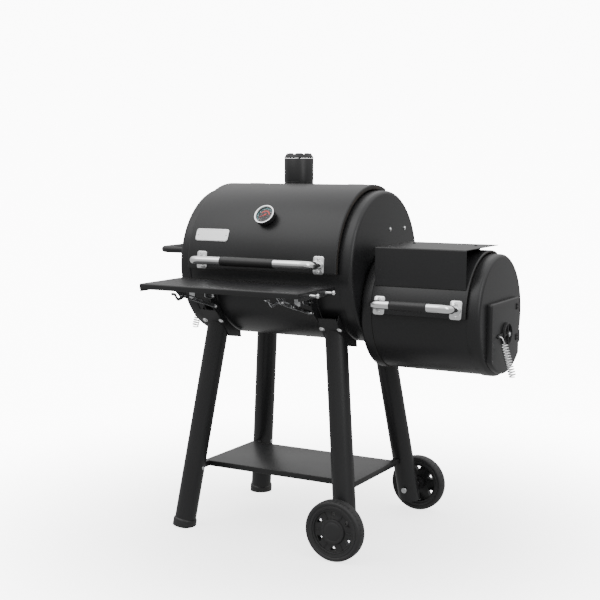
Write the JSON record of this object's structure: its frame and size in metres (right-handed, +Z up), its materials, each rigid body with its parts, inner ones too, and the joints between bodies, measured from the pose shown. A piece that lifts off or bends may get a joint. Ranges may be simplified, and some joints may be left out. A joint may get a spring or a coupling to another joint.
{
  "type": "offset smoker",
  "caption": "Offset smoker with a horizontal barrel cook chamber on splayed legs, side firebox, hinged lids, folding front shelf, chimney, vent dampers and transport wheels.",
  "frame": {"origin": "centre of the bounding box at the floor", "axes": "+Z up; the front, with the lid handle and the folding shelf, faces -Y; the firebox is at +X"},
  "size_m": [1.3456, 0.902, 1.3253],
  "materials": {
    "powder_coat": "satin black powder coat",
    "chrome": "polished",
    "zinc": "zinc plated",
    "black_resin": "moulded black",
    "cast_black": "painted casting",
    "cast_iron": "seasoned",
    "badge": "bright plate",
    "needle": "red",
    "glass": "clear",
    "tyre": "moulded tyre"
  },
  "bodies": {
    "frame": {"cook_box_shell": "powder_coat", "end_cap_left": "powder_coat", "end_cap_right": "powder_coat", "chimney_pipe": "powder_coat", "side_handle": "powder_coat", "cooking_grate_left": "cast_iron", "cooking_grate_right": "cast_iron", "warming_rack": "zinc", "firebox_shell": "powder_coat", "firebox_cap_left": "powder_coat", "firebox_cap_right": "powder_coat", "charcoal_grate": "cast_iron", "ash_tray": "zinc", "leg_front_left": "powder_coat", "leg_rear_left": "powder_coat", "leg_front_right": "powder_coat", "leg_rear_right": "powder_coat", "foot_front_left": "black_resin", "foot_rear_left": "black_resin", "leg_bracket_front_left": "powder_coat", "leg_bracket_front_right": "powder_coat", "leg_bracket_rear_left": "powder_coat", "leg_bracket_rear_right": "powder_coat", "bottom_shelf": "powder_coat", "wheel_bolt_front": "zinc", "wheel_bolt_rear": "zinc"},
    "main_lid": {"main_lid_shell": "powder_coat", "lid_handle_frame": "chrome", "lid_handle_grip": "black_resin", "plain_plate": "badge", "gauge_housing": "cast_black", "gauge_bezel": "chrome", "gauge_glass": "glass"},
    "gauge_pointer": {"gauge_needle": "needle"},
    "firebox_lid": {"firebox_lid_shell": "powder_coat", "firebox_handle_frame": "chrome", "firebox_handle_grip": "black_resin", "firebox_hood": "powder_coat"},
    "fire_door": {"firebox_door": "powder_coat"},
    "door_damper": {"door_damper_disc": "cast_black", "door_damper_spring": "chrome"},
    "side_damper": {"side_damper_disc": "cast_black", "side_damper_spring": "chrome"},
    "crown": {"chimney_crown": "powder_coat"},
    "folding_shelf": {"front_shelf": "powder_coat", "tool_peg_front": "chrome", "tool_peg_rear": "chrome", "shelf_arm_left": "zinc", "shelf_arm_right": "zinc"},
    "lower_strut_left": {"strut_lower_left": "zinc"},
    "lower_strut_right": {"strut_lower_right": "zinc"},
    "upper_strut_left": {"strut_upper_left": "zinc"},
    "upper_strut_right": {"strut_upper_right": "zinc"},
    "lever_left": {"shelf_lever_left": "zinc"},
    "lever_right": {"shelf_lever_right": "zinc"},
    "wheel_front": {"tyre_front": "tyre", "wheel_hub_front": "black_resin"},
    "wheel_rear": {"tyre_rear": "tyre", "wheel_hub_rear": "black_resin"}
  },
  "joints": [
    {"name": "main_lid_hinge", "type": "hinge", "parent": "frame", "child": "main_lid", "pos_m": [-0.15789, 0.20516, 1.18891], "axis": [-1, 0, 0], "range_deg": [0, 92]},
    {"name": "gauge_pointer_pivot", "type": "hinge", "parent": "main_lid", "child": "gauge_pointer", "pos_m": [-0.15789, -0.15395, 1.12107], "axis": [0, 0.8018, -0.5976], "range_deg": [0, 240]},
    {"name": "firebox_lid_hinge", "type": "hinge", "parent": "frame", "child": "firebox_lid", "pos_m": [0.38771, 0.17892, 0.99099], "axis": [-1, 0, 0], "range_deg": [0, 90]},
    {"name": "firebox_door_hinge", "type": "hinge", "parent": "frame", "child": "fire_door", "pos_m": [0.60441, 0.231, 0.7665], "axis": [0, 0, 1], "range_deg": [0, 110]},
    {"name": "door_damper_pivot", "type": "hinge", "parent": "fire_door", "child": "door_damper", "pos_m": [0.61141, 0.093, 0.738], "axis": [1, 0, 0], "range_deg": [0, 45]},
    {"name": "side_damper_pivot", "type": "hinge", "parent": "frame", "child": "side_damper", "pos_m": [-0.49539, 0.076, 0.818], "axis": [1, 0, 0], "range_deg": [0, 45]},
    {"name": "chimney_damper_pivot", "type": "hinge", "parent": "frame", "child": "crown", "pos_m": [-0.27589, 0.293, 1.306], "axis": [0, 0, 1], "range_deg": [0, 45]},
    {"name": "shelf_fold", "type": "hinge", "parent": "frame", "child": "folding_shelf", "pos_m": [-0.15789, -0.179, 0.836], "axis": [1, 0, 0], "range_deg": [0, 90]},
    {"name": "lower_strut_left_pivot", "type": "hinge", "parent": "frame", "child": "lower_strut_left", "pos_m": [-0.34389, -0.169, 0.8], "axis": [1, 0, 0], "range_deg": [0, 94.7]},
    {"name": "lower_strut_right_pivot", "type": "hinge", "parent": "frame", "child": "lower_strut_right", "pos_m": [0.02811, -0.169, 0.8], "axis": [1, 0, 0], "range_deg": [0, 94.7]},
    {"name": "upper_strut_left_pivot", "type": "hinge", "parent": "folding_shelf", "child": "upper_strut_left", "pos_m": [-0.34089, -0.36, 0.856], "axis": [1, 0, 0], "range_deg": [0, 4.7]},
    {"name": "upper_strut_right_pivot", "type": "hinge", "parent": "folding_shelf", "child": "upper_strut_right", "pos_m": [0.02511, -0.36, 0.856], "axis": [1, 0, 0], "range_deg": [0, 4.7]},
    {"name": "lever_left_pivot", "type": "hinge", "parent": "folding_shelf", "child": "lever_left", "pos_m": [-0.33639, -0.36, 0.856], "axis": [1, 0, 0], "range_deg": [0, 15], "stiffness_Nm_per_rad": 0.1, "springref_deg": -34.38},
    {"name": "lever_right_pivot", "type": "hinge", "parent": "folding_shelf", "child": "lever_right", "pos_m": [0.02061, -0.36, 0.856], "axis": [1, 0, 0], "range_deg": [0, 15], "stiffness_Nm_per_rad": 0.1, "springref_deg": -34.38},
    {"name": "front_wheel_spin", "type": "hinge", "parent": "frame", "child": "wheel_front", "pos_m": [0.16211, -0.242, 0.102], "axis": [0, 1, 0], "continuous": true},
    {"name": "rear_wheel_spin", "type": "hinge", "parent": "frame", "child": "wheel_rear", "pos_m": [0.16211, 0.428, 0.102], "axis": [0, 1, 0], "continuous": true}
  ],
  "couplings": [
    {"joint": "lower_strut_left_pivot", "follows": "shelf_fold", "ratio": 1.0517},
    {"joint": "lower_strut_right_pivot", "follows": "shelf_fold", "ratio": 1.0517},
    {"joint": "upper_strut_left_pivot", "follows": "shelf_fold", "ratio": 0.0517},
    {"joint": "upper_strut_right_pivot", "follows": "shelf_fold", "ratio": 0.0517}
  ]
}
